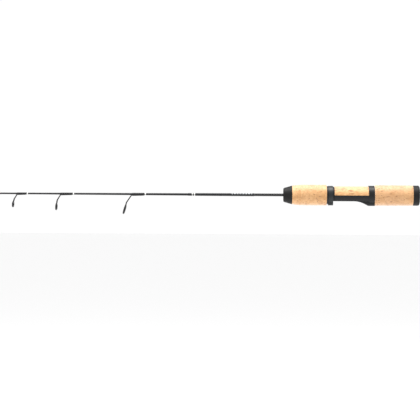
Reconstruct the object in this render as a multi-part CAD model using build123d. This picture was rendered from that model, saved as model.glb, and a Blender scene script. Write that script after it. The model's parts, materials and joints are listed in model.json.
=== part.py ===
from build123d import *
import math
import os

# Ice fishing rod for a spinning reel, in millimetres.
# The rod lies along X, tip toward -X and butt toward +X. The origin is the centre of
# the butt cap's end face, on the rod's axis. +Z is up, and the line guides and the
# reel hang toward -Z. The fore grip is the locking nut: turning it runs it along the
# seat's thread, and it draws the moving hood on or off the reel's foot.

# ---- blank ----
ROD_LENGTH = 609.6
BLANK_TIP_X = 1.0 - ROD_LENGTH
BLANK_BUTT_X = -14.0
BLANK_TIP_R = 1.10
BLANK_BUTT_R = 2.40

# ---- handle, from the tip end to the butt ----
CAP_FRONT_X = -190.8
FORE_CORK_X = -178.8
NUT_FLANGE_X = -130.6
HOOD_FRONT_X = -128.0
HOOD_REAR_X = -121.5
ARCH_X = -121.4
INSERT_FRONT_X = -119.6
INSERT_REAR_X = -71.7
SEAT_REAR_X = -63.4
BUTT_CAP_X = -9.8
CORK_RINGS = 4
RUN_GAP = 0.1  # clearance between parts that turn or slide on each other

# ---- grips ----
FORE_CORK_R = 14.6
FORE_CORK_FRONT_R = 13.0
FORE_SWELL_X = -157.0
FORE_SHOULDER = (-172.5, 14.05)
FORE_CORK_BORE_R = 2.7
REAR_CORK_R = 14.5
REAR_CORK_BUTT_R = 14.2
REAR_TAPER_X = -40.0
FORE_CAP_FRONT_R = 9.6
FORE_CAP_REAR_R = 13.1
FORE_CAP_BORE_R = 2.5
FORE_CAP_TENON_R = 7.0
FORE_CAP_TENON_LENGTH = 4.0
BUTT_CAP_R = 14.1
BUTT_CAP_SPIGOT_R = 11.8
BUTT_CAP_SPIGOT_LENGTH = 6.5
BUTT_CAP_CORNER_R = 2.5
BUTT_DOME_RISE = 0.8
BUTT_FLAT_R = 5.0

# ---- reel seat ----
BED_Z = -8.4  # flat that the reel's foot lies on
KEY_Z = -8.3  # flat under the barrel and in the fixed hood, just clear of the foot
SEAT_R = 12.35
SEAT_RING_R = 13.5
ARCH_R = 11.6
INSERT_R = 12.5
INSERT_CORE_R = 8.5
INSERT_LEDGE_Z = -0.3
BARREL_R = 9.6
BARREL_FRONT_X = -165.5
THREAD_REAR_X = -143.0  # where the barrel's thread stops and its full radius starts
SEAT_BORE_R = 5.0
TAIL_R = 6.5
TAIL_X = -53.0

# ---- fixed hood, at the rear of the seat ----
RAMP_FRONT_X = -91.5
RAMP_REAR_X = -72.0
FIXED_LOBE = (8.6, -14.8, 4.2)  # half width, lowest z, corner radius
FIXED_POCKET = (7.0, -12.85, 1.5)
FIXED_POCKET_REAR_X = -65.2

# ---- moving hood ----
HOOD_R = 13.1
HOOD_LOBE = (8.0, -14.3, 3.7)
HOOD_POCKET = (6.8, -12.6, 1.5)
HOOD_POCKET_FRONT_X = -126.5
NECK_FRONT_X = -133.0
NECK_R = 10.8
CLIP_X = -132.0
CLIP_WIDTH = 0.8
CLIP_GROOVE_R = 10.2
CLIP_R = 11.2
CLIP_SPLIT = 3.0

# ---- locking nut inside the fore grip ----
NUT_R = 12.2
NUT_FLANGE_R = 12.6
NUT_FRONT_X = -166.6
NUT_THREAD_X = (-164.0, -146.0)

# ---- thread between barrel and nut, right-handed ----
THREAD_LEAD = 3.0
THREAD_START_X = -164.0
THREAD_TURNS = 6
THREAD_ROOT_R = 8.2
THREAD_CREST_R = 9.0
THREAD_FOOT_WIDTH = 1.8
THREAD_TOP_WIDTH = 1.1
THREAD_GAP = 0.2
THREAD_SINK = 0.2  # how far the ridge's foot is sunk into what it is joined to or cut from

# ---- arbors that centre the blank in the seat: front and rear faces ----
ARBORS = {
    "seat_arbor_front": (-160.0, -148.0),
    "seat_arbor_middle": (-116.0, -100.0),
    "seat_arbor_rear": (-72.0, -56.0),
}

# ---- line guides ----
# wrap: front and rear of the thread wrap. bends: where a leg leaves the foot and where it
# turns down to the ring, as (x, z). spread: how far apart the legs stand from the rod's
# middle at the second bend. ring: centre x and z, outer radius, tilt in degrees.
GUIDES = {
    "large": {
        "wrap": (-402.4, -384.6),
        "bends": [(-403.4, -1.6), (-410.3, -11.8)],
        "spread": 3.2,
        "ring": (-412.9, -21.6, 6.6, 16.0),
        "foot_width": 2.2,
    },
    "middle": {
        "wrap": (-502.9, -485.2),
        "bends": [(-502.6, -1.4), (-507.2, -9.0)],
        "spread": 2.3,
        "ring": (-508.4, -18.3, 4.85, 3.0),
        "foot_width": 2.0,
    },
    "small": {
        "wrap": (-563.6, -549.6),
        "bends": [(-563.4, -1.25), (-567.3, -7.4)],
        "spread": 1.9,
        "ring": (-569.0, -15.3, 4.1, 3.0),
        "foot_width": 1.8,
    },
}
FOOT_THICKNESS = 0.8
FOOT_TIP_THICKNESS = 0.3
FOOT_SHORTER_THAN_WRAP = 2.0
LEG_R = 0.75
LEG_BEND_R = 1.5
LEG_LANDING_DEG = 50.0  # where a leg meets its ring, from the ring's top
BAND_WIDTH = 2.0
BAND_THICKNESS = 0.8
RING_WIDTH = 2.8
RING_THICKNESS = 0.95
WRAP_THICKNESS = 0.25
WRAP_END_TAPER = 0.8
TRIM_LENGTH = 1.5
TRIM_THICKNESS = 0.18

# ---- tip-top ----
TIP_TUBE_LENGTH = 11.0
TIP_TUBE_R = 1.4
TIP_RING = (-605.9, -4.0, 3.25, 12.0)
TIP_RING_THICKNESS = 0.7
TIP_WRAP_LENGTH = 5.0

# ---- decoration in front of the handle: front face, rear face, thickness ----
BANDS = {
    "black_wrap_front": (-324.2, -318.7, 0.22),
    "silver_trim_thin": (-318.7, -317.7, 0.18),
    "black_wrap_rear": (-317.7, -316.0, 0.22),
    "silver_trim_wide": (-316.0, -314.3, 0.18),
    "label_sleeve": (-314.3, -231.8, 0.25),
}


def blank_radius(x):
    """Outer radius of the tapered blank at x."""
    share = (x - BLANK_TIP_X) / (BLANK_BUTT_X - BLANK_TIP_X)
    return BLANK_TIP_R + share * (BLANK_BUTT_R - BLANK_TIP_R)


def turned(*points):
    """A solid of revolution about the rod's axis, from (x, radius) corners."""
    return revolve(make_face(Polyline(*points, close=True)), Axis.X)


def tube(x0, x1, inner, outer):
    """A straight tube about the rod's axis."""
    return turned((x0, inner), (x0, outer), (x1, outer), (x1, inner))


def sleeve(x0, x1, wall, taper=0.0):
    """A thin sleeve that hugs the blank, with tapered ends where taper is given."""
    return turned(
        (x0, blank_radius(x0)),
        (x0 + taper, blank_radius(x0 + taper) + wall),
        (x1 - taper, blank_radius(x1 - taper) + wall),
        (x1, blank_radius(x1)),
    )


def prism(section, x0, x1):
    """A section drawn in (y, z), extruded along the rod from x0 to x1."""
    return extrude(Plane.YZ.offset(x0) * section, amount=x1 - x0)


def slab(x0, x1, z0, z1, half_width=20.0):
    """A box given by its ends along X and Z, centred on the rod in Y."""
    section = Pos(0, (z0 + z1) / 2) * Rectangle(2 * half_width, z1 - z0)
    return prism(section, x0, x1)


def lobe(x0, x1, shape, top=0.0):
    """A rod-long block below `top`, rounded at its two lower edges."""
    half_width, bottom, corner = shape
    section = Pos(0, (top + bottom) / 2) * Rectangle(2 * half_width, top - bottom)
    lower = section.vertices().group_by(Axis.Y)[0]
    return prism(fillet(lower, corner), x0, x1)


def ring_at(place, inner, outer, width, round_r):
    """A guide-sized ring with rounded edges, tilted and set at its place."""
    x, z, _, tilt = place
    section = Pos(0, (inner + outer) / 2) * RectangleRounded(width, outer - inner, round_r)
    return Pos(x, 0, z) * Rot(0, tilt, 0) * revolve(section, Axis.X)


def leg(points, bend):
    """A round wire leg through the points, with arcs at its bends."""
    path = FilletPolyline(*points, radius=bend)
    return sweep(Plane(path @ 0, z_dir=path % 0) * Circle(LEG_R), path=path)


def landing(place, angle):
    """The point on a ring's rim at an angle from its top, on the +Y side."""
    x, z, rim, tilt = place
    along = (rim - LEG_R / 2) * math.cos(math.radians(angle))
    side = (rim - LEG_R / 2) * math.sin(math.radians(angle))
    lean = math.radians(tilt)
    return (x + along * math.sin(lean), side, z + along * math.cos(lean))


def both_sides(points, bend):
    """The same leg on the rod's +Y and -Y sides."""
    right = leg(points, bend)
    return right + mirror(right, Plane.XZ)


# ---- blank and decoration ----
def make_blank():
    return turned(
        (BLANK_TIP_X, 0),
        (BLANK_TIP_X, BLANK_TIP_R),
        (BLANK_BUTT_X, BLANK_BUTT_R),
        (BLANK_BUTT_X, 0),
    )


# ---- line guides ----
def guide_foot(guide, front, grow=0.0):
    """The tapering foot below the blank, from `front` back, grown all round where asked."""
    rear = guide["wrap"][1] - FOOT_SHORTER_THAN_WRAP + grow
    outline = Polyline(
        (front, -blank_radius(front) / 2),
        (front, -blank_radius(front) - FOOT_THICKNESS - grow),
        (rear, -blank_radius(rear) - FOOT_TIP_THICKNESS - grow),
        (rear, -blank_radius(rear) / 2),
        close=True,
    )
    half_width = guide["foot_width"] / 2 + grow
    return extrude(make_face(Plane.XZ * outline), amount=half_width, both=True)


def guide_frame(guide, blank):
    """Foot, two legs and the band that holds the ring, as one stamping."""
    x, z, rim, tilt = guide["ring"]
    (front, foot_z), (bend_x, bend_z) = guide["bends"]
    side = guide["foot_width"] / 2 - LEG_R
    points = [
        (front + 3.5, side * 0.6, foot_z),
        (front, side, foot_z),
        (bend_x, guide["spread"], bend_z),
        landing(guide["ring"], LEG_LANDING_DEG),
    ]
    band = ring_at(guide["ring"], rim - BAND_THICKNESS, rim, BAND_WIDTH, BAND_THICKNESS / 4)
    opening = Pos(x, 0, z) * Rot(0, tilt, 0) * tube(-4, 4, 0, rim - BAND_THICKNESS)
    frame = guide_foot(guide, front) + both_sides(points, LEG_BEND_R) + band
    return frame - opening - blank


def guide_ring(place, thickness):
    """The hard ring that the line runs through, seated in the frame's band."""
    outer = place[2] - BAND_THICKNESS
    return ring_at(place, outer - thickness, outer, RING_WIDTH, thickness * 0.45)


def guide_wrap(guide, blank, frame):
    """The thread wrap that binds the foot to the blank."""
    front, rear = guide["wrap"]
    wrap = sleeve(front, rear, WRAP_THICKNESS, WRAP_END_TAPER)
    return wrap + guide_foot(guide, front, WRAP_THICKNESS) - blank - frame


def tip_top_frame(blank):
    """The tube over the blank's tip, with its ring band and two braces."""
    x, z, rim, tilt = TIP_RING
    rear = -ROD_LENGTH + TIP_TUBE_LENGTH
    points = [
        (rear - 0.8, 0.45, -0.85),
        (rear - 3.0, 0.6, -1.25),
        landing(TIP_RING, 75),
    ]
    band = ring_at(TIP_RING, rim - BAND_THICKNESS, rim, BAND_WIDTH, BAND_THICKNESS / 4)
    opening = Pos(x, 0, z) * Rot(0, tilt, 0) * tube(-2.5, 2.5, 0, rim - BAND_THICKNESS)
    frame = tube(-ROD_LENGTH, rear, 0, TIP_TUBE_R) + band
    frame = frame + both_sides(points, LEG_BEND_R)
    return frame - opening - blank


# ---- grips ----
def fore_grip_outline():
    """The fore grip's profile: a cylinder that rounds down to the fore cap."""
    shoulder = TangentArc((FORE_SWELL_X, FORE_CORK_R), FORE_SHOULDER, tangent=(-1, 0))
    nose = TangentArc(shoulder @ 1, (FORE_CORK_X, FORE_CORK_FRONT_R), tangent=shoulder % 1)
    rest = Polyline(
        (FORE_CORK_X, FORE_CORK_FRONT_R),
        (FORE_CORK_X, 0),
        (NUT_FLANGE_X, 0),
        (NUT_FLANGE_X, FORE_CORK_R),
        (FORE_SWELL_X, FORE_CORK_R),
    )
    return make_face([shoulder, nose, rest])


def fore_cork():
    """The fore grip's cork rings: the first over the blank, the rest over the nut."""
    grip = revolve(fore_grip_outline(), Axis.X)
    grip = grip - tube(FORE_CORK_X, NUT_FRONT_X, 0, FORE_CORK_BORE_R)
    grip = grip - tube(FORE_CORK_X, FORE_CORK_X + FORE_CAP_TENON_LENGTH, 0, FORE_CAP_TENON_R)
    grip = grip - tube(NUT_FRONT_X, NUT_FLANGE_X, 0, NUT_R)
    length = (NUT_FLANGE_X - FORE_CORK_X) / CORK_RINGS
    return cut_in_rings(grip, "fore_cork_ring", FORE_CORK_X, length)


def cut_in_rings(grip, name, start, length):
    """Cork grips are glued up from rings; each ring is a piece of its own."""
    rings = {}
    for i in range(CORK_RINGS):
        front = start + i * length
        rear = front + length + (BUTT_CAP_SPIGOT_LENGTH if i == CORK_RINGS - 1 else 0)
        rings[f"{name}_{i + 1}"] = grip & slab(front, rear, -20, 20)
    return rings


def fore_cap():
    """The tapered winding check in front of the fore grip."""
    outline = Polyline(
        (CAP_FRONT_X, FORE_CAP_BORE_R),
        (CAP_FRONT_X, FORE_CAP_FRONT_R),
        (FORE_CORK_X, FORE_CAP_REAR_R),
        (FORE_CORK_X, FORE_CAP_TENON_R),
        (FORE_CORK_X + FORE_CAP_TENON_LENGTH, FORE_CAP_TENON_R),
        (FORE_CORK_X + FORE_CAP_TENON_LENGTH, FORE_CORK_BORE_R + 1.4),
        (FORE_CORK_X, FORE_CAP_BORE_R),
        close=True,
    )
    face = make_face(outline)
    nose = face.vertices().sort_by_distance((CAP_FRONT_X, FORE_CAP_FRONT_R))[0]
    return revolve(fillet(nose, 1.6), Axis.X)


def rear_cork(blank):
    """The rear grip's cork rings, with the butt cap's spigot on the last."""
    taper = TangentArc(
        (REAR_TAPER_X, REAR_CORK_R), (BUTT_CAP_X, REAR_CORK_BUTT_R), tangent=(1, 0)
    )
    spigot_x = BUTT_CAP_X + BUTT_CAP_SPIGOT_LENGTH
    rest = Polyline(
        (BUTT_CAP_X, REAR_CORK_BUTT_R),
        (BUTT_CAP_X, BUTT_CAP_SPIGOT_R),
        (spigot_x, BUTT_CAP_SPIGOT_R),
        (spigot_x, 0),
        (SEAT_REAR_X, 0),
        (SEAT_REAR_X, REAR_CORK_R),
        (REAR_TAPER_X, REAR_CORK_R),
    )
    grip = revolve(make_face([taper, rest]), Axis.X)
    grip = grip - blank - tube(SEAT_REAR_X, TAIL_X, 0, TAIL_R)
    length = (BUTT_CAP_X - SEAT_REAR_X) / CORK_RINGS
    return cut_in_rings(grip, "rear_cork_ring", SEAT_REAR_X, length)


def butt_cap():
    """A cup over the last cork ring, its end slightly domed around a flat centre."""
    dome_x = -BUTT_DOME_RISE
    spigot_x = BUTT_CAP_X + BUTT_CAP_SPIGOT_LENGTH
    dome = TangentArc((0, BUTT_FLAT_R), (dome_x, BUTT_CAP_R), tangent=(0, 1))
    rest = Polyline(
        (dome_x, BUTT_CAP_R),
        (BUTT_CAP_X, BUTT_CAP_R),
        (BUTT_CAP_X, BUTT_CAP_SPIGOT_R),
        (spigot_x, BUTT_CAP_SPIGOT_R),
        (spigot_x, 0),
        (0, 0),
        (0, BUTT_FLAT_R),
    )
    face = make_face([dome, rest])
    corner = face.vertices().sort_by_distance((dome_x, BUTT_CAP_R))[0]
    return revolve(fillet(corner, BUTT_CAP_CORNER_R), Axis.X)


# ---- thread ----
def thread_ridge(start_x, turns, gap=0.0):
    """A helical ridge on the thread's root, grown by a gap where it cuts a groove."""
    root = THREAD_ROOT_R + gap
    height = THREAD_CREST_R - THREAD_ROOT_R
    foot = THREAD_FOOT_WIDTH / 2 + gap
    top = THREAD_TOP_WIDTH / 2 + gap
    path = Helix(
        pitch=THREAD_LEAD,
        height=turns * THREAD_LEAD,
        radius=root,
        center=(start_x, 0, 0),
        direction=(1, 0, 0),
    )
    start = path @ 0
    outward = Vector(0, start.Y, start.Z).normalized()
    plane = Plane(origin=start, x_dir=outward.cross(path % 0), z_dir=path % 0)
    outline = Polyline(
        (-foot, -THREAD_SINK), (-top, height), (top, height), (foot, -THREAD_SINK), close=True
    )
    return sweep(plane * make_face(outline), path=path, is_frenet=True)


def thread_cutter():
    """What the nut's thread takes out: its bore with the groove around it."""
    front, rear = NUT_THREAD_X
    bore = tube(front, rear, 0, THREAD_ROOT_R + THREAD_GAP)
    groove = thread_ridge(THREAD_START_X - THREAD_LEAD, THREAD_TURNS + 2, THREAD_GAP)
    return bore + groove


# ---- reel seat ----
def below_flats():
    """The room below the bed and below the barrel's flat, which keys the moving hood."""
    barrel = slab(BARREL_FRONT_X, ARCH_X, KEY_Z - 20, KEY_Z)
    return barrel + slab(ARCH_X, RAMP_FRONT_X, BED_Z - 20, BED_Z)


def seat_body():
    """Barrel, arch, cradle, fixed hood and rear ring, as one moulding."""
    cradle = slab(INSERT_FRONT_X, INSERT_REAR_X, -20, INSERT_LEDGE_Z)
    cradle = cradle & tube(INSERT_FRONT_X, INSERT_REAR_X, 0, SEAT_R)
    body = tube(BARREL_FRONT_X, THREAD_REAR_X, 0, THREAD_ROOT_R)
    body = body + thread_ridge(THREAD_START_X, THREAD_TURNS)
    body = body + tube(THREAD_REAR_X, ARCH_X, 0, BARREL_R)
    body = body + turned(
        (ARCH_X, 0), (ARCH_X, ARCH_R + 0.5), (INSERT_FRONT_X, ARCH_R), (INSERT_FRONT_X, 0)
    )
    body = body + tube(INSERT_FRONT_X, INSERT_REAR_X, 0, INSERT_CORE_R) + cradle
    body = body + seat_ring()
    body = body + lobe(RAMP_FRONT_X, SEAT_REAR_X, FIXED_LOBE, INSERT_LEDGE_Z)
    body = body - below_flats() - ramp()
    body = body - lobe(RAMP_FRONT_X, FIXED_POCKET_REAR_X, FIXED_POCKET, KEY_Z)
    body = body + tube(SEAT_REAR_X, TAIL_X, 0, TAIL_R)
    return body - tube(BARREL_FRONT_X, TAIL_X, 0, SEAT_BORE_R)


def seat_ring():
    """The ring at the seat's rear, rounded at both rims."""
    face = make_face(
        Polyline(
            (INSERT_REAR_X, 0),
            (INSERT_REAR_X, SEAT_RING_R),
            (SEAT_REAR_X, SEAT_RING_R),
            (SEAT_REAR_X, 0),
            close=True,
        )
    )
    rims = face.vertices().group_by(Axis.Y)[-1].sort_by(Axis.X)
    face = fillet(rims[1], 1.0)
    front = face.vertices().sort_by_distance((INSERT_REAR_X, SEAT_RING_R))[0]
    return revolve(fillet(front, 0.3), Axis.X)


def ramp():
    """The hollow curve that leads from the flat bed down to the fixed hood's lip."""
    run = RAMP_REAR_X - RAMP_FRONT_X
    drop = BED_Z - FIXED_LOBE[1]
    radius = (run**2 + drop**2) / (2 * drop)
    disc = Plane.XZ * Pos(RAMP_FRONT_X, BED_Z - radius) * Circle(radius)
    return extrude(disc, amount=20, both=True)


def seat_insert():
    """The cork half-shell let into the top of the seat."""
    shell = tube(INSERT_FRONT_X, INSERT_REAR_X, INSERT_CORE_R, INSERT_R)
    shell = shell - slab(INSERT_FRONT_X, INSERT_REAR_X, -20, INSERT_LEDGE_Z)
    ends = shell.edges().filter_by(GeomType.CIRCLE)
    rims = [e for e in ends if abs(e.radius - INSERT_R) < 0.01]
    return fillet(rims, 0.5)


def seat_arbor(x0, x1, blank):
    """A bush between the blank and the seat's bore."""
    return tube(x0, x1, 0, SEAT_BORE_R) - blank


def moving_hood():
    """The hood that clamps the foot's front end; its neck carries the clip."""
    body = tube(HOOD_FRONT_X, HOOD_REAR_X, 0, HOOD_R)
    rims = body.edges().filter_by(GeomType.CIRCLE).sort_by(Axis.X)
    body = fillet(rims[-1], 0.8)
    body = body + lobe(HOOD_FRONT_X, HOOD_REAR_X, HOOD_LOBE)
    body = body + tube(NECK_FRONT_X, HOOD_FRONT_X, 0, NECK_R)
    body = body - tube(CLIP_X, CLIP_X + CLIP_WIDTH, CLIP_GROOVE_R, NECK_R + 1)
    bore = tube(NECK_FRONT_X, HOOD_REAR_X, 0, BARREL_R + RUN_GAP)
    bore = bore - slab(NECK_FRONT_X, HOOD_REAR_X, KEY_Z - RUN_GAP - 20, KEY_Z - RUN_GAP)
    return body - bore - lobe(HOOD_POCKET_FRONT_X, HOOD_REAR_X, HOOD_POCKET, -5.0)


def hood_clip():
    """The split spring ring that ties the moving hood to the nut."""
    clip = tube(CLIP_X, CLIP_X + CLIP_WIDTH, CLIP_GROOVE_R, CLIP_R)
    return clip - slab(CLIP_X, CLIP_X + CLIP_WIDTH, 0, 20, CLIP_SPLIT / 2)


def locking_nut():
    """The threaded sleeve glued into the fore grip, with a flange at its rear."""
    rear = HOOD_FRONT_X - RUN_GAP
    thread_front, thread_rear = NUT_THREAD_X
    nut = tube(NUT_FRONT_X, rear, 0, NUT_R) + tube(NUT_FLANGE_X, rear, 0, NUT_FLANGE_R)
    nut = nut - thread_cutter()
    nut = nut - tube(NUT_FRONT_X, thread_front, 0, BARREL_R + RUN_GAP)
    nut = nut - tube(thread_rear, rear, 0, BARREL_R + 2 * RUN_GAP)
    nut = nut - tube(NECK_FRONT_X - 0.5, rear, 0, NECK_R + RUN_GAP)
    groove = (CLIP_X - 0.2, CLIP_X + CLIP_WIDTH + 0.2)
    return nut - tube(*groove, 0, CLIP_R + RUN_GAP)


def make_nodes():
    """Every piece of the rod, by node name."""
    blank = make_blank()
    nodes = {"blank": blank, "tip_top_frame": tip_top_frame(blank)}
    nodes["tip_top_ring"] = guide_ring(TIP_RING, TIP_RING_THICKNESS)
    tip_tube_rear = -ROD_LENGTH + TIP_TUBE_LENGTH
    nodes["tip_top_wrap"] = sleeve(tip_tube_rear, tip_tube_rear + TIP_WRAP_LENGTH, 0.3, 0.0)
    for size, guide in GUIDES.items():
        frame = guide_frame(guide, blank)
        rear = guide["wrap"][1]
        nodes[f"guide_{size}_frame"] = frame
        nodes[f"guide_{size}_ring"] = guide_ring(guide["ring"], RING_THICKNESS)
        nodes[f"guide_{size}_wrap"] = guide_wrap(guide, blank, frame)
        nodes[f"guide_{size}_trim"] = sleeve(rear, rear + TRIM_LENGTH, TRIM_THICKNESS)
    for name, (front, rear, wall) in BANDS.items():
        nodes[name] = sleeve(front, rear, wall)
    nodes["fore_cap"] = fore_cap()
    nodes["locking_nut"] = locking_nut()
    nodes.update(fore_cork())
    nodes["moving_hood"] = moving_hood()
    nodes["hood_clip"] = hood_clip()
    nodes["seat_body"] = seat_body()
    nodes["seat_insert"] = seat_insert()
    for name, (front, rear) in ARBORS.items():
        nodes[name] = seat_arbor(front, rear, blank)
    nodes.update(rear_cork(blank))
    nodes["butt_cap"] = butt_cap()
    return nodes


def main():
    os.makedirs("parts", exist_ok=True)
    for name, piece in make_nodes().items():
        export_step(piece, f"parts/{name}.step")


main()
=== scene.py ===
import json
import math

import bmesh
import bpy
from bpy.props import FloatProperty, FloatVectorProperty, IntProperty, PointerProperty
from bpy.types import Operator, Panel, PropertyGroup
from mathutils import Matrix, Vector, noise


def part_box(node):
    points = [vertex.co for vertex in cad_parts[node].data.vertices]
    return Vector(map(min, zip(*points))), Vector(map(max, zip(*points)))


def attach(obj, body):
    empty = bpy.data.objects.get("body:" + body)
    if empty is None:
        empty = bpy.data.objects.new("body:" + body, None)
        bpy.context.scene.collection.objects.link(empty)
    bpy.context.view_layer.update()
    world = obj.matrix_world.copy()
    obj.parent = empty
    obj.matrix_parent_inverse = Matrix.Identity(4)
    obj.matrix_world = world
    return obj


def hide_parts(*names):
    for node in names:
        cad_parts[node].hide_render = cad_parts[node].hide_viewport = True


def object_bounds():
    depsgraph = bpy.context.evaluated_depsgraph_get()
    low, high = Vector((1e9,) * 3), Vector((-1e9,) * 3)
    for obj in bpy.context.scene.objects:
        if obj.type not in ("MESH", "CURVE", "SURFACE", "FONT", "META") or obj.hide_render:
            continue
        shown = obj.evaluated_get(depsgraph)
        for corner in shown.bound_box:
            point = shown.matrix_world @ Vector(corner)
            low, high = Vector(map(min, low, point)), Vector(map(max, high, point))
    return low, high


bl_info = {
    "name": "Ice fishing rod",
    "version": (1, 0, 0),
    "blender": (4, 5, 0),
    "location": "3D View > Sidebar > Rod",
    "description": "Finishes a packed ice fishing rod: cork, mouldings, windings and guides",
    "category": "Object",
}

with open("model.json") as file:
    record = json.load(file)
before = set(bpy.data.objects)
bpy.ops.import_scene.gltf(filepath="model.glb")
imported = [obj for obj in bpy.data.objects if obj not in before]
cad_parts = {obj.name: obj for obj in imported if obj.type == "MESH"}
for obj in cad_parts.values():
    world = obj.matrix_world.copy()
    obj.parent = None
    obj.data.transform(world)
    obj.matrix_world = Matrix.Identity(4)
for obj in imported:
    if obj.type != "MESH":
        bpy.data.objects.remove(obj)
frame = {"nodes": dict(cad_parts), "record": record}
cad_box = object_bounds()

MM = 0.001
TURN = math.tau
BODIES = frame["record"]["behaviour"]["bodies"]
GUIDE_SIZES = ("large", "middle", "small")
FORE_RINGS = [f"fore_cork_ring_{i}" for i in range(1, 5)]
REAR_RINGS = [f"rear_cork_ring_{i}" for i in range(1, 5)]
FORE_TONES = ((1.02, 1.0, 0.98), (1.0, 1.0, 1.0), (0.98, 0.97, 0.95), (1.0, 0.98, 0.95))
REAR_TONES = ((0.94, 0.93, 0.98), (0.92, 0.90, 0.95), (0.93, 0.92, 0.97), (0.96, 0.96, 0.99))
INSERT_TONE = (1.04, 1.04, 1.02)

# How thick the thread lies on the blank
WRAP_WALL = 0.25 * MM
TIP_WALL = 0.30 * MM
BAND_WALL = 0.22 * MM
TRIM_WALL = 0.18 * MM

# The outline of a winding waits at this radius until it is drawn in onto the blank
WAITING_RADIUS = 3 * MM
HAIR = 0.01 * MM


# ---------------------------------------------------------------- settings
def colour(label, default, description):
    """A colour property with its default in linear light."""
    return FloatVectorProperty(
        name=label, description=description, subtype="COLOR", size=3, min=0, max=1, default=default
    )


def length(label, default_mm, description):
    """A length property, given in millimetres and kept in metres."""
    return FloatProperty(
        name=label,
        description=description,
        subtype="DISTANCE",
        unit="LENGTH",
        precision=5,
        min=0,
        default=default_mm * MM,
    )


class RodCork(PropertyGroup):
    light: colour("Light", (0.61, 0.35, 0.155), "Palest cork of the grips")
    dark: colour("Dark", (0.49, 0.255, 0.095), "Darkest cork between the pits")
    pit: colour("Pits", (0.22, 0.09, 0.025), "Inside of the pits and pores")
    pit_depth: length("Pit depth", 0.28, "How deep the larger pits go")
    grid: length("Grid", 0.42, "Spacing of the mesh that carries the pits")
    glue_line: length("Glue line", 0.12, "Depth of the line between two cork rings")


class RodMouldings(PropertyGroup):
    seat: colour("Seat", (0.003, 0.003, 0.0034), "Satin plastic of the reel seat")
    hood: colour("Hood", (0.005, 0.0068, 0.0076), "Satin plastic of the moving hood")
    rubber: colour("Rubber", (0.005, 0.0046, 0.0042), "Rubber of the fore cap and butt cap")
    edge: length("Edge softness", 0.28, "Radius on the mouldings' edges")


class RodWindings(PropertyGroup):
    thread: colour("Thread", (0.005, 0.005, 0.006), "Thread over the guide feet")
    trim: colour("Trim", (0.62, 0.62, 0.60), "Metallic trim thread")
    pitch: length("Thread pitch", 0.24, "Distance between two turns of thread")
    ripple: length("Ripple", 0.035, "Depth of the groove between two turns")
    steps: IntProperty(name="Steps", description="Facets round a winding", default=40, min=12)


class RodStage(PropertyGroup):
    distance: length("Camera distance", 2600, "From the camera to the rod's axis")
    lens: FloatProperty(name="Lens", description="Focal length", unit="CAMERA", default=159.2)
    aim: FloatProperty(name="Aim", description="Aim point's share of the rod, from butt", default=0.4813)
    drop: length("Aim drop", 7.7, "How far below the rod's axis the camera aims")
    roll: FloatProperty(
        name="Roll", description="Camera roll", subtype="ANGLE", default=math.radians(0.33)
    )
    sky: FloatProperty(name="Sky", description="Brightness of the white surround", default=1.02)
    key: FloatProperty(name="Key light", description="Power of the overhead softbox in watts", default=40)
    floor: length("Floor", 420, "How far the floor lies below the rod's axis")


# ---------------------------------------------------------------- finishes
class Finish:
    """One procedural material, built node by node on the shader's own sockets."""

    def __init__(self, name, base, roughness, **sockets):
        self.material = bpy.data.materials.new(name)
        self.material.use_nodes = True
        self.tree = self.material.node_tree
        self.shader = self.tree.nodes["Principled BSDF"]
        self.shader.inputs["Base Color"].default_value = (*base, 1)
        self.shader.inputs["Roughness"].default_value = roughness
        for socket, value in sockets.items():
            self.shader.inputs[socket.replace("_", " ")].default_value = value

    def add(self, kind, inputs=None, **settings):
        """A node with its settings, and its inputs set or linked by name or number."""
        node = self.tree.nodes.new("ShaderNode" + kind)
        for key, value in settings.items():
            setattr(node, key, value)
        for key, value in (inputs or {}).items():
            if isinstance(value, bpy.types.NodeSocket):
                self.tree.links.new(value, node.inputs[key])
            else:
                node.inputs[key].default_value = value
        return node

    def place(self, stretch=(1, 1, 1), turn=(0, 0, 0), shift=(0, 0, 0)):
        """Object coordinates in millimetres, stretched, turned and shifted."""
        coords = self.add("TexCoord").outputs["Object"]
        scale = tuple(part / MM for part in stretch)
        inputs = {"Vector": coords, "Scale": scale, "Rotation": turn, "Location": shift}
        return self.add("Mapping", inputs).outputs["Vector"]

    def noise(self, where, scale, detail=3.0, roughness=0.55):
        inputs = {"Vector": where, "Scale": scale, "Detail": detail, "Roughness": roughness}
        return self.add("TexNoise", inputs).outputs["Fac"]

    def step(self, value, low, high):
        """0 below low, 1 above high, and smooth between them."""
        inputs = {"Value": value, "From Min": low, "From Max": high}
        ramp = self.add("MapRange", inputs, interpolation_type="SMOOTHSTEP")
        return ramp.outputs["Result"]

    def math(self, operation, *values):
        node = self.add("Math", dict(enumerate(values)), operation=operation)
        return node.outputs[0]

    def mix(self, share, first, second, blend="MIX"):
        """Two colours mixed by share; either may be a plain colour."""
        node = self.add("Mix", data_type="RGBA", blend_type=blend)
        for index, value in ((0, share), (6, first), (7, second)):
            if isinstance(value, bpy.types.NodeSocket):
                self.tree.links.new(value, node.inputs[index])
            elif index:
                node.inputs[index].default_value = (*value, 1)
            else:
                node.inputs[index].default_value = value
        return node.outputs[2]

    def colour(self, output):
        self.tree.links.new(output, self.shader.inputs["Base Color"])

    def rough(self, output, low, high):
        """Roughness that follows a pattern between low and high."""
        inputs = {"Value": output, "To Min": low, "To Max": high}
        spread = self.add("MapRange", inputs)
        self.tree.links.new(spread.outputs["Result"], self.shader.inputs["Roughness"])

    def bump(self, height, depth_mm, strength=1.0):
        inputs = {"Height": height, "Distance": depth_mm * MM, "Strength": strength}
        node = self.add("Bump", inputs)
        self.tree.links.new(node.outputs["Normal"], self.shader.inputs["Normal"])


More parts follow.
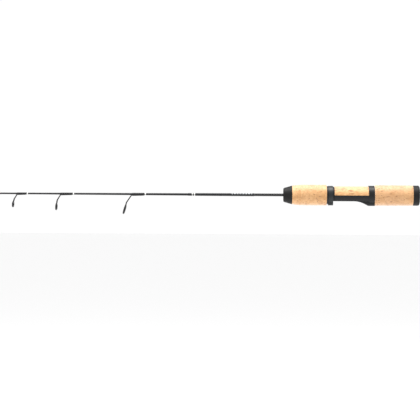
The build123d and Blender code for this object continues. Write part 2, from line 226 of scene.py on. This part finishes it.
def cork_finish(name, looks, seed, stretch, turn, tone, streak=0.42):
    """Cork: mottled tan, streaks along the stretch, fine pores, and dark pits in the mesh's pits."""
    finish = Finish(
        name,
        looks.light,
        0.6,
        Specular_IOR_Level=0.5,
        Sheen_Weight=1.0,
        Sheen_Roughness=0.42,
        Sheen_Tint=(1, 1, 1, 1),
    )
    shift = (seed * 37.0, seed * 11.0, seed * 23.0)
    plain = finish.place(shift=shift)
    grain = finish.place(stretch, (turn, 0, turn), shift)
    mottle = finish.step(finish.noise(plain, 0.11, 4), 0.36, 0.66)
    flecks = finish.step(finish.noise(plain, 0.85, 4, 0.6), 0.44, 0.70)
    streaks = finish.step(finish.noise(grain, 0.55, 5, 0.62), 0.52, 0.68)
    pores = finish.step(finish.noise(grain, 2.6, 2, 0.5), 0.62, 0.72)
    light = tuple(part * share for part, share in zip(looks.light, tone))
    dark = tuple(part * share for part, share in zip(looks.dark, tone))
    body = finish.mix(mottle, light, dark)
    body = finish.mix(finish.math("MULTIPLY", flecks, 0.45), body, dark)
    body = finish.mix(finish.math("MULTIPLY", streaks, streak), body, looks.pit)
    body = finish.mix(finish.math("MULTIPLY", pores, 0.38), body, looks.pit)
    pit = finish.add("Attribute", attribute_name="pit").outputs["Fac"]
    finish.colour(finish.mix(finish.math("MULTIPLY", pit, 0.85), body, looks.pit))
    finish.rough(flecks, 0.5, 0.66)
    height = finish.math("SUBTRACT", flecks, finish.math("MULTIPLY", pores, 1.4))
    finish.bump(height, 0.06, 0.8)
    return finish.material


def satin_finish(name, base, roughness, gloss):
    """Spark-eroded plastic: a fine even texture with faint handling marks."""
    finish = Finish(name, base, roughness, Specular_IOR_Level=gloss)
    grain = finish.noise(finish.place(), 5.0, 3, 0.6)
    marks = finish.noise(finish.place((0.25, 1, 1)), 0.35, 4, 0.6)
    finish.rough(marks, roughness - 0.06, roughness + 0.08)
    finish.bump(grain, 0.02, 0.5)
    return finish.material


def rubber_finish(name, base):
    """Moulded rubber: dull, pebbled, a little dusty where it has been handled."""
    finish = Finish(name, base, 0.6, Specular_IOR_Level=0.2)
    pebble = finish.add("TexVoronoi", {"Vector": finish.place(), "Scale": 2.2}).outputs["Distance"]
    dust = finish.step(finish.noise(finish.place(), 0.22, 5, 0.65), 0.45, 0.75)
    pale = tuple(part * 1.7 + 0.003 for part in base)
    finish.colour(finish.mix(finish.math("MULTIPLY", dust, 0.6), base, pale))
    finish.rough(dust, 0.56, 0.72)
    finish.bump(pebble, 0.03, 0.45)
    return finish.material


def lacquer_finish(name, base, roughness=0.2):
    """Lacquer over glass fibre, with the faint spiral of the tape it was rolled under."""
    finish = Finish(
        name, base, roughness, Specular_IOR_Level=0.2, Coat_Weight=0.15, Coat_Roughness=0.06
    )
    where = finish.place()
    spiral = finish.add(
        "TexWave", {"Vector": where, "Scale": 0.22, "Distortion": 0.6}, bands_direction="X"
    )
    flow = finish.noise(finish.place((0.05, 1, 1)), 0.8, 3)
    finish.rough(flow, roughness - 0.06, roughness + 0.1)
    finish.bump(spiral.outputs["Fac"], 0.02, 0.35)
    return finish


def printed_lacquer(name, base, ink, start, end):
    """The dark sleeve in front of the handle, with a row of plain printed dashes."""
    finish = lacquer_finish(name, base, 0.16)
    spots = finish.add("SeparateXYZ", {"Vector": finish.place()})
    along, across, up = spots.outputs
    pace = finish.math("FRACT", finish.math("DIVIDE", along, 4.0))
    dash = finish.math("LESS_THAN", pace, 0.62)
    near = finish.math("LESS_THAN", across, -0.35)
    high = finish.math("GREATER_THAN", up, 0.75)
    after = finish.math("GREATER_THAN", along, start / MM)
    before = finish.math("LESS_THAN", along, end / MM)
    shown = dash
    for gate in (near, high, after, before):
        shown = finish.math("MULTIPLY", shown, gate)
    finish.colour(finish.mix(shown, base, ink))
    return finish.material


def winding_finish(name, base, pitch, metallic=0.0, roughness=0.42):
    """Thread laid turn by turn under clear, glossy epoxy, with painted shade in the grooves between the
    turns.
    """
    finish = Finish(
        name,
        base,
        roughness,
        Metallic=metallic,
        Specular_IOR_Level=0.2,
        Coat_Weight=0.2,
        Coat_Roughness=0.05,
    )
    where = finish.place()
    turns = finish.add(
        "TexWave",
        {"Vector": where, "Scale": MM / pitch / 3.18, "Distortion": 0.15, "Detail Scale": 2.0},
        bands_direction="X",
    )
    fibres = finish.noise(finish.place((1, 4, 4)), 2.0, 2)
    # painted shade: the colour darkens to 0.55 of the thread's own colour in the grooves between the
    # turns
    painted_groove_shade = tuple(part * 0.55 for part in base)
    finish.colour(finish.mix(turns.outputs["Fac"], painted_groove_shade, base))
    finish.rough(fibres, roughness - 0.1, roughness + 0.12)
    finish.bump(turns.outputs["Fac"], 0.03, 0.6)
    return finish.material


def coated_wire_finish():
    """Black-coated stainless wire, worn a little brighter in patches."""
    black = (0.006, 0.006, 0.007)
    finish = Finish("guide_coating", black, 0.33, Specular_IOR_Level=0.35)
    wear = finish.step(finish.noise(finish.place(), 0.7, 4, 0.6), 0.56, 0.78)
    finish.colour(finish.mix(finish.math("MULTIPLY", wear, 0.5), black, (0.04, 0.04, 0.045)))
    finish.rough(wear, 0.28, 0.45)
    finish.bump(finish.noise(finish.place(), 6.0, 2), 0.01, 0.4)
    return finish.material


def ceramic_finish():
    """Polished black ceramic of the line rings."""
    finish = Finish("guide_ceramic", (0.010, 0.010, 0.011), 0.09, Specular_IOR_Level=0.35)
    cloud = finish.noise(finish.place(), 0.9, 3)
    finish.colour(finish.mix(cloud, (0.006, 0.006, 0.007), (0.016, 0.017, 0.018)))
    finish.rough(cloud, 0.06, 0.14)
    return finish.material


def spring_finish():
    """Drawn spring wire of the hood's clip."""
    finish = Finish("clip_steel", (0.52, 0.52, 0.54), 0.3, Metallic=1.0)
    drawn = finish.noise(finish.place((6, 1, 1)), 1.2, 3)
    finish.rough(drawn, 0.22, 0.42)
    finish.bump(drawn, 0.01, 0.4)
    return finish.material


def foam_finish():
    """Rigid foam of the arbors inside the seat."""
    finish = Finish("arbor_foam", (0.66, 0.56, 0.38), 0.85)
    cells = finish.add("TexVoronoi", {"Vector": finish.place(), "Scale": 3.0}).outputs["Distance"]
    finish.colour(finish.mix(cells, (0.5, 0.41, 0.26), (0.72, 0.62, 0.44)))
    finish.bump(cells, 0.08, 0.7)
    return finish.material


# ---------------------------------------------------------------- reading the frame
def body_of(node):
    """The name of the body that a CAD node rides on."""
    return next(body for body, members in BODIES.items() if node in members)


def radii(node, behind=math.inf):
    """(x, radius) of a CAD node's corners, as far back as `behind`."""
    corners = [v.co for v in frame["nodes"][node].data.vertices]
    return [(round(c.x, 6), math.hypot(c.y, c.z)) for c in corners if c.x <= behind]


def silhouette(node, behind=math.inf):
    """The outer outline of a turned node, front to rear, as (x, radius) corners."""
    widest = {}
    for x, radius in radii(node, behind):
        widest[x] = max(radius, widest.get(x, 0))
    outline = []
    for x, radius in sorted(widest.items()):
        while len(outline) > 1 and hollow(outline[-2], outline[-1], (x, radius)):
            outline.pop()
        outline.append((x, radius))
    return outline


def hollow(first, middle, last):
    """Whether the middle point lies on or inside the line from first to last."""
    run = (middle[0] - first[0]) * (last[1] - first[1])
    rise = (middle[1] - first[1]) * (last[0] - first[0])
    return rise - run <= 1e-12


def bore(node):
    """The radius of a ring's bore, read at its two faces; the wider where they differ."""
    corners = radii(node)
    lowest, highest = min(corners)[0], max(corners)[0]
    ends = [min(r for x, r in corners if abs(x - end) < 1e-5) for end in (lowest, highest)]
    return max(ends)


def blank_radius(x):
    """Radius of the tapered blank at x."""
    (tip, tip_r), (butt, butt_r) = BLANK_ENDS
    return tip_r + (butt_r - tip_r) * (x - tip) / (butt - tip)


BLANK_ENDS = (silhouette("blank")[0], silhouette("blank")[-1])
WINDING_SIDES = 17


# ---------------------------------------------------------------- mesh tools
def divided(outline, step):
    """The outline with its long stretches cut into steps."""
    points = [outline[0]]
    for (x0, r0), (x1, r1) in zip(outline, outline[1:]):
        count = max(1, round(math.hypot(x1 - x0, r1 - r0) / step))
        for i in range(1, count + 1):
            points.append((x0 + (x1 - x0) * i / count, r0 + (r1 - r0) * i / count))
    return points


def rounded(x, radius, size, towards):
    """A quarter round of an outline's corner; towards is +1 at its front, -1 at its rear."""
    corner = []
    for i in range(5):
        angle = TURN / 4 * i / 4
        along = x + towards * size * (1 - math.sin(angle))
        corner.append((along, radius - size * (1 - math.cos(angle))))
    return corner if towards < 0 else corner[::-1]


def lathe(outline, steps):
    """A closed solid of revolution about the rod's axis from a closed (x, radius) outline."""
    bm = bmesh.new()
    rim = [bm.verts.new((x, 0, radius)) for x, radius in outline]
    edges = [bm.edges.new(pair) for pair in zip(rim, rim[1:] + rim[:1])]
    bmesh.ops.spin(
        bm,
        geom=rim + edges,
        cent=(0, 0, 0),
        axis=(1, 0, 0),
        dvec=(0, 0, 0),
        angle=TURN,
        steps=steps,
        use_merge=True,
        use_normal_flip=False,
        use_duplicate=False,
    )
    bmesh.ops.remove_doubles(bm, verts=bm.verts, dist=1e-7)
    bmesh.ops.recalc_face_normals(bm, faces=bm.faces)
    return bm


def smoothstep(low, high, value):
    share = min(1.0, max(0.0, (value - low) / (high - low)))
    return share * share * (3 - 2 * share)


def pit_cork(bm, surface, looks, seed, stretch, turn):
    """Sinks pits into the verts at or above the surface radius, and marks them for the finish."""
    layer = bm.verts.layers.float.new("pit")
    tilt = Matrix.Rotation(turn, 3, "X") @ Matrix.Rotation(turn, 3, "Z")
    shift = Vector((seed * 5.3, seed * 9.1, seed * 2.7))
    for vert in bm.verts:
        radius = math.hypot(vert.co.y, vert.co.z)
        if radius < surface:
            continue
        place = tilt @ (vert.co / MM)
        place = Vector(part * share for part, share in zip(place, stretch)) + shift
        broad = smoothstep(0.34, 0.60, noise.noise(place * 0.62))
        fine = smoothstep(0.36, 0.62, noise.noise(place * 1.7 + shift))
        swell = 0.5 + 0.5 * noise.noise(place * 0.12)
        pit = min(1.0, broad + 0.55 * fine)
        vert[layer] = pit
        sink = looks.pit_depth * pit + 0.04 * MM * swell
        vert.co.yz = vert.co.yz * ((radius - sink) / radius)


def make_piece(name, bm, material, node, crease=math.radians(40)):
    """A finished mesh as a piece that rides with the body of the CAD node it replaces, and hides that
    node.
    """
    mesh = bpy.data.meshes.new(name)
    bm.to_mesh(mesh)
    bm.free()
    mesh.shade_smooth()
    mesh.set_sharp_from_angle(angle=crease)
    mesh.materials.append(material)
    piece = bpy.data.objects.new(name, mesh)
    bpy.context.scene.collection.objects.link(piece)
    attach(piece, body_of(node))
    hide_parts(node)
    return piece


def paint(node, material):
    """Gives a CAD node that keeps its shape a better material."""
    mesh = frame["nodes"][node].data
    mesh.materials.clear()
    mesh.materials.append(material)


# ---------------------------------------------------------------- pieces
def turn_cork_ring(node, looks, seed, stretch, turn, tone, behind=math.inf):
    """One cork ring of a grip, turned to the grip's outline and pitted."""
    outer = silhouette(node, behind)
    (front, front_r), (rear, rear_r) = outer[0], outer[-1]
    line = looks.glue_line
    outer = [(front, front_r - line)] + [p for p in divided(outer, looks.grid)][1:-1]
    outer += [(rear, rear_r - line)]
    hole = bore(node)
    steps = round(TURN * max(r for _, r in outer) / looks.grid)
    bm = lathe(outer + [(rear, hole), (front, hole)], steps)
    surface = min(front_r, rear_r) - line / 2
    pit_cork(bm, surface, looks, seed, stretch, turn)
    material = cork_finish(f"{node}_cork", looks, seed, stretch, turn, tone)
    return make_piece(f"{node}_turned", bm, material, node)


class ROD_OT_grip_cork(Operator):
    """Turn the cork rings of both grips"""

    bl_idname = "rod.grip_cork"
    bl_label = "Grip cork"

    def execute(self, context):
        looks = context.scene.rod_cork
        cap_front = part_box("butt_cap")[0].x + HAIR
        for seed, (node, tone) in enumerate(zip(FORE_RINGS, FORE_TONES), 1):
            turn_cork_ring(node, looks, seed, (0.8, 1.0, 1.0), 0.3 * seed, tone)
        for seed, (node, tone) in enumerate(zip(REAR_RINGS, REAR_TONES), 5):
            turn_cork_ring(node, looks, seed, (0.45, 1.0, 1.0), 0.5 * seed, tone, cap_front)
        return {"FINISHED"}


class ROD_OT_seat_cork(Operator):
    """Cut the cork half-shell that is let into the top of the seat"""

    bl_idname = "rod.seat_cork"
    bl_label = "Seat cork"

    def execute(self, context):
        looks = context.scene.rod_cork
        low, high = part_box("seat_insert")
        inner = min(radius for _, radius in radii("seat_insert"))
        soft = 0.5 * MM
        outer = rounded(low.x, high.z, soft, 1) + rounded(high.x, high.z, soft, -1)
        outline = divided(outer, looks.grid) + [(high.x, inner), (low.x, inner)]
        bm = lathe(outline, round(TURN * high.z / looks.grid))
        geometry = bm.verts[:] + bm.edges[:] + bm.faces[:]
        cut = bmesh.ops.bisect_plane(
            bm, geom=geometry, plane_co=(0, 0, low.z), plane_no=(0, 0, 1), clear_inner=True
        )
        rim = [part for part in cut["geom_cut"] if isinstance(part, bmesh.types.BMEdge)]
        bmesh.ops.holes_fill(bm, edges=rim, sides=0)
        pit_cork(bm, high.z - 0.1 * MM, looks, 11, (0.16, 1.0, 1.0), 0.03)
        material = cork_finish("insert_cork", looks, 11, (0.14, 1.0, 1.0), 0.03, INSERT_TONE, 0.75)
        make_piece("seat_insert_cut", bm, material, "seat_insert")
        return {"FINISHED"}


def mould_cap(node, outer, inner, material):
    """A rubber cap of an outer and an inner outline, both in (x, radius)."""
    bm = lathe(divided(outer, 0.8 * MM) + inner, 160)
    make_piece(f"{node}_moulded", bm, material, node, math.radians(50))


class ROD_OT_caps(Operator):
    """Mould the rubber fore cap and butt cap"""

    bl_idname = "rod.caps"
    bl_label = "Caps"

    def execute(self, context):
        rubber = rubber_finish("cap_rubber", context.scene.rod_mouldings.rubber)
        cork_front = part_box("fore_cork_ring_1")[0].x
        outer = silhouette("fore_cap", cork_front + HAIR)
        hole = bore("fore_cap")
        mould_cap("fore_cap", outer, [(outer[-1][0], hole), (outer[0][0], hole)], rubber)
        outer = silhouette("butt_cap")
        front, rear = outer[0][0], outer[-1][0]
        spigot = min(radius for x, radius in radii("butt_cap") if abs(x - front) < 1e-5)
        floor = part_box("rear_cork_ring_4")[1].x
        inner = [(rear, 0), (floor, 0), (floor, spigot), (front, spigot)]
        mould_cap("butt_cap", outer, inner, rubber)
        return {"FINISHED"}


def soften(node, edge, behind):
    """A copy of a moulding's mesh, its edges rounded from `behind` rearward."""
    bm = bmesh.new()
    bm.from_mesh(frame["nodes"][node].data)
    bmesh.ops.remove_doubles(bm, verts=bm.verts, dist=2e-6)
    bmesh.ops.dissolve_limit(
        bm, angle_limit=math.radians(0.5), verts=bm.verts, edges=bm.edges, use_dissolve_boundaries=False
    )
    sharp = [
        e
        for e in bm.edges
        if e.is_manifold
        and e.calc_face_angle(0) > math.radians(32)
        and min(v.co.x for v in e.verts) > behind
    ]
    bmesh.ops.bevel(
        bm,
        geom=sharp,
        offset=edge,
        offset_type="OFFSET",
        affect="EDGES",
        segments=3,
        profile=0.5,
        material=-1,
        clamp_overlap=True,
    )
    bmesh.ops.remove_doubles(bm, verts=bm.verts, dist=1e-7)
    return bm


class ROD_OT_mouldings(Operator):
    """Soften the edges of the reel seat and the moving hood"""

    bl_idname = "rod.mouldings"
    bl_label = "Mouldings"

    def execute(self, context):
        looks = context.scene.rod_mouldings
        seat = satin_finish("seat_plastic", looks.seat, 0.46, 0.28)
        hood = satin_finish("hood_plastic", looks.hood, 0.46, 0.36)
        nut = satin_finish("nut_plastic", looks.seat, 0.5, 0.3)
        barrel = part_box("moving_hood")[0].x
        make_piece("seat_body_moulded", soften("seat_body", looks.edge, barrel), seat, "seat_body")
        make_piece("moving_hood_moulded", soften("moving_hood", looks.edge, barrel), hood, "moving_hood")
        paint("locking_nut", nut)
        return {"FINISHED"}


def reach(angle, rods):
    """How far a taut thread stands out at an angle, round rods given as (y, z, radius)."""
    taut = math.inf
    for i in range(WINDING_SIDES):
        side = angle + TURN / 4 * (2 * i / (WINDING_SIDES - 1) - 1) * 0.96
        stand = max(y * math.cos(side) + z * math.sin(side) + r for y, z, r in rods)
        taut = min(taut, stand / math.cos(side - angle))
    return taut


def foot_of(size, wall):
    """A guide's foot under its wrap: x, half width and lowest z at its front, and the same at its tip."""
    low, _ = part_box(f"guide_{size}_wrap")
    corners = [v.co for v in frame["nodes"][f"guide_{size}_frame"].data.vertices]
    tip_x = max(c.x for c in corners)
    tip = [c for c in corners if c.x > tip_x - HAIR]
    half = max(abs(c.y) for c in tip)
    return (low.x, half, low.z + wall), (tip_x, half, min(c.z for c in tip))


def foot_rods(foot, x, wall):
    """The two lower edges of a guide's foot at x, as rods for the thread to go round."""
    (front_x, half, front_z), (tip_x, _, tip_z) = foot
    if x > tip_x + wall:
        return []
    share = min(1.0, (x - front_x) / (tip_x - front_x))
    edge = 0.15 * MM
    deep = front_z + (tip_z - front_z) * share + edge
    return [(side * (half - edge), deep, edge + wall) for side in (-1, 1)]


def wind(node, material, looks, wall, soft, foot=None):
    """Thread wound on the blank over a CAD winding's length, over a guide's foot if it has one."""
    low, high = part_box(node)
    front, rear = low.x, high.x
    count = max(6, 4 * round((rear - front) / looks.pitch))
    outer = divided([(front, WAITING_RADIUS), (rear, WAITING_RADIUS)], (rear - front) / count)
    inner = [(rear, blank_radius(rear)), (front, blank_radius(front))]
    bm = lathe(outer + inner, looks.steps)
    for vert in bm.verts:
        x, y, z = vert.co
        radius = math.hypot(y, z)
        if radius < 0.97 * WAITING_RADIUS:
            continue
        core = blank_radius(x)
        stand = core + wall
        if foot:
            rods = [(0, 0, stand)] + foot_rods(foot, x, wall)
            stand = reach(math.atan2(z, y), rods)
        end = min(x - front, rear - x) / soft if soft else 1.0
        share = math.sqrt(max(0.0, 1 - (1 - min(1.0, end)) ** 2))
        groove = looks.ripple * (0.5 + 0.5 * math.cos(TURN * (x - front) / looks.pitch))
        stand = core + max(HAIR, (stand - core) * share - groove)
        vert.co.yz = vert.co.yz * (stand / radius)
    bmesh.ops.remove_doubles(bm, verts=bm.verts, dist=1e-7)
    return make_piece(f"{node}_wound", bm, material, node)


class ROD_OT_windings(Operator):
    """Wind the black thread over the guide feet, the tip-top and in front of the handle"""

    bl_idname = "rod.windings"
    bl_label = "Windings"

    def execute(self, context):
        looks = context.scene.rod_windings
        thread = winding_finish("black_winding", looks.thread, looks.pitch)
        for size in GUIDE_SIZES:
            foot = foot_of(size, WRAP_WALL)
            wind(f"guide_{size}_wrap", thread, looks, WRAP_WALL, 0.9 * MM, foot)
        wind("tip_top_wrap", thread, looks, TIP_WALL, 0.6 * MM)
        for node in ("black_wrap_front", "black_wrap_rear"):
            wind(node, thread, looks, BAND_WALL, 0)
        return {"FINISHED"}


class ROD_OT_trims(Operator):
    """Wind the metallic trim bands"""

    bl_idname = "rod.trims"
    bl_label = "Trims"

    def execute(self, context):
        looks = context.scene.rod_windings
        trim = winding_finish("silver_winding", looks.trim, looks.pitch, 0.85, 0.35)
        for size in GUIDE_SIZES:
            wind(f"guide_{size}_trim", trim, looks, TRIM_WALL, 0)
        for node in ("silver_trim_thin", "silver_trim_wide"):
            wind(node, trim, looks, TRIM_WALL, 0)
        return {"FINISHED"}


class ROD_OT_blank(Operator):
    """Lacquer the blank and print the sleeve in front of the handle"""

    bl_idname = "rod.blank"
    bl_label = "Blank"

    def execute(self, context):
        paint("blank", lacquer_finish("blank_lacquer", (0.005, 0.005, 0.006)).material)
        low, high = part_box("label_sleeve")
        start = low.x + (high.x - low.x) * 0.62
        end = low.x + (high.x - low.x) * 0.97
        ink = (0.24, 0.25, 0.26)
        paint("label_sleeve", printed_lacquer("label_print", (0.005, 0.006, 0.007), ink, start, end))
        return {"FINISHED"}


class ROD_OT_guides(Operator):
    """Finish the line guides and the tip-top"""

    bl_idname = "rod.guides"
    bl_label = "Guides"

    def execute(self, context):
        coating = coated_wire_finish()
        ceramic = ceramic_finish()
        for stem in [f"guide_{size}" for size in GUIDE_SIZES] + ["tip_top"]:
            paint(f"{stem}_frame", coating)
            paint(f"{stem}_ring", ceramic)
        return {"FINISHED"}


class ROD_OT_inner_parts(Operator):
    """Finish the hood's clip and the arbors inside the seat"""

    bl_idname = "rod.inner_parts"
    bl_label = "Inner parts"

    def execute(self, context):
        paint("hood_clip", spring_finish())
        foam = foam_finish()
        for place in ("front", "middle", "rear"):
            paint(f"seat_arbor_{place}", foam)
        return {"FINISHED"}


# ---------------------------------------------------------------- stage
def lay_floor(depth):
    """A wide pale floor well below the rod."""
    bm = bmesh.new()
    bmesh.ops.create_grid(bm, x_segments=1, y_segments=1, size=20)
    mesh = bpy.data.meshes.new("floor")
    bm.to_mesh(mesh)
    bm.free()
    floor = bpy.data.objects.new("floor", mesh)
    floor.location.z = -depth
    bpy.context.scene.collection.objects.link(floor)
    finish = Finish("floor_paper", (0.93, 0.93, 0.93), 0.9)
    mesh.materials.append(finish.material)


def hang_softbox(name, centre, aim, size, power):
    """A rectangular softbox at centre, facing aim."""
    light = bpy.data.lights.new(name, "AREA")
    light.shape = "RECTANGLE"
    light.size, light.size_y = size
    light.energy = power
    lamp = bpy.data.objects.new(name, light)
    lamp.location = centre
    lamp.rotation_mode = "QUATERNION"
    lamp.rotation_quaternion = (Vector(aim) - Vector(centre)).to_track_quat("-Z", "Y")
    bpy.context.scene.collection.objects.link(lamp)


class ROD_OT_stage(Operator):
    """Set the floor, the white surround, the softbox and the camera"""

    bl_idname = "rod.stage"
    bl_label = "Stage"

    def execute(self, context):
        looks = context.scene.rod_stage
        scene = context.scene
        lay_floor(looks.floor)
        world = bpy.data.worlds.new("white_surround")
        world.use_nodes = True
        sky = world.node_tree.nodes["Background"]
        sky.inputs["Color"].default_value = (1, 1, 1, 1)
        sky.inputs["Strength"].default_value = looks.sky
        scene.world = world
        middle = cad_box[0].x * looks.aim
        aim = Vector((middle, 0, -looks.drop))
        hang_softbox("overhead", (middle, -0.12, 1.3), aim, (1.4, 0.7), looks.key)
        lens = bpy.data.cameras.new("camera")
        lens.lens = looks.lens
        lens.sensor_width = 36
        lens.clip_start, lens.clip_end = 0.05, 100
        camera = bpy.data.objects.new("camera", lens)
        turned = Matrix.Rotation(TURN / 4, 4, "X") @ Matrix.Rotation(looks.roll, 4, "Z")
        camera.matrix_world = Matrix.Translation(aim + Vector((0, -looks.distance, 0))) @ turned
        scene.collection.objects.link(camera)
        scene.camera = camera
        scene.view_settings.view_transform = "Standard"
        return {"FINISHED"}


# ---------------------------------------------------------------- panel
PIECES = (
    ROD_OT_grip_cork,
    ROD_OT_seat_cork,
    ROD_OT_caps,
    ROD_OT_mouldings,
    ROD_OT_windings,
    ROD_OT_trims,
    ROD_OT_blank,
    ROD_OT_guides,
    ROD_OT_inner_parts,
    ROD_OT_stage,
)
LOOKS = {
    "rod_cork": RodCork,
    "rod_mouldings": RodMouldings,
    "rod_windings": RodWindings,
    "rod_stage": RodStage,
}


class ROD_PT_panel(Panel):
    """The rod's pieces and settings in the sidebar"""

    bl_label = "Ice fishing rod"
    bl_idname = "ROD_PT_panel"
    bl_space_type = "VIEW_3D"
    bl_region_type = "UI"
    bl_category = "Rod"

    def draw(self, context):
        for piece in PIECES:
            self.layout.operator(piece.bl_idname)
        for name, group in LOOKS.items():
            box = self.layout.box()
            box.label(text=group.__name__)
            for key in group.__annotations__:
                box.prop(getattr(context.scene, name), key)


def register():
    for group in (*LOOKS.values(), *PIECES, ROD_PT_panel):
        bpy.utils.register_class(group)
    for name, group in LOOKS.items():
        setattr(bpy.types.Scene, name, PointerProperty(type=group))


def unregister():
    for name in LOOKS:
        delattr(bpy.types.Scene, name)
    for group in (ROD_PT_panel, *reversed(PIECES), *reversed(LOOKS.values())):
        bpy.utils.unregister_class(group)


def main():
    register()
    for piece in PIECES:
        family, name = piece.bl_idname.split(".")
        getattr(getattr(bpy.ops, family), name)()


if __name__ == "__main__":
    main()
